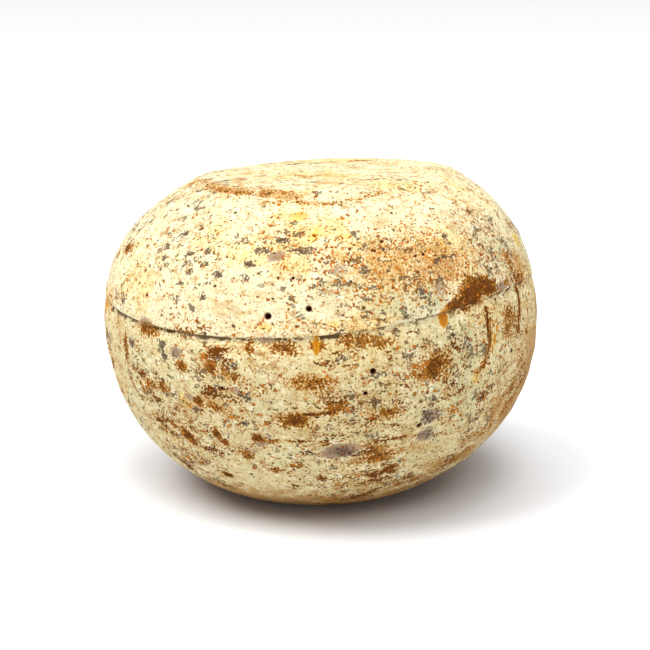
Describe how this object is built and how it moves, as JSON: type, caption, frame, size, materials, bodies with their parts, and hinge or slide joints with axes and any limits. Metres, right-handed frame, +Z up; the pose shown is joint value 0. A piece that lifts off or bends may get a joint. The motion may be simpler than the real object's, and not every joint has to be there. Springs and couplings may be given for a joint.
{
  "type": "cheese wheel",
  "caption": "Tall rounded wheel of aged cheese with a mottled natural rind, a mould seam round its side, a crowned top face and a flat base to stand on.",
  "frame": {"origin": "bottom centre of the bounding box, on the flat base that the wheel stands on", "axes": "+Z up, the wheel's short axis, -Y towards the front, +X to the right seen from the front"},
  "size_m": [0.1998, 0.1998, 0.1464],
  "materials": {
    "natural_rind": "matte natural cheese rind, cream with grey and rust-brown mould"
  },
  "bodies": {
    "root": {"cheese_wheel": "natural_rind"}
  },
  "joints": []
}
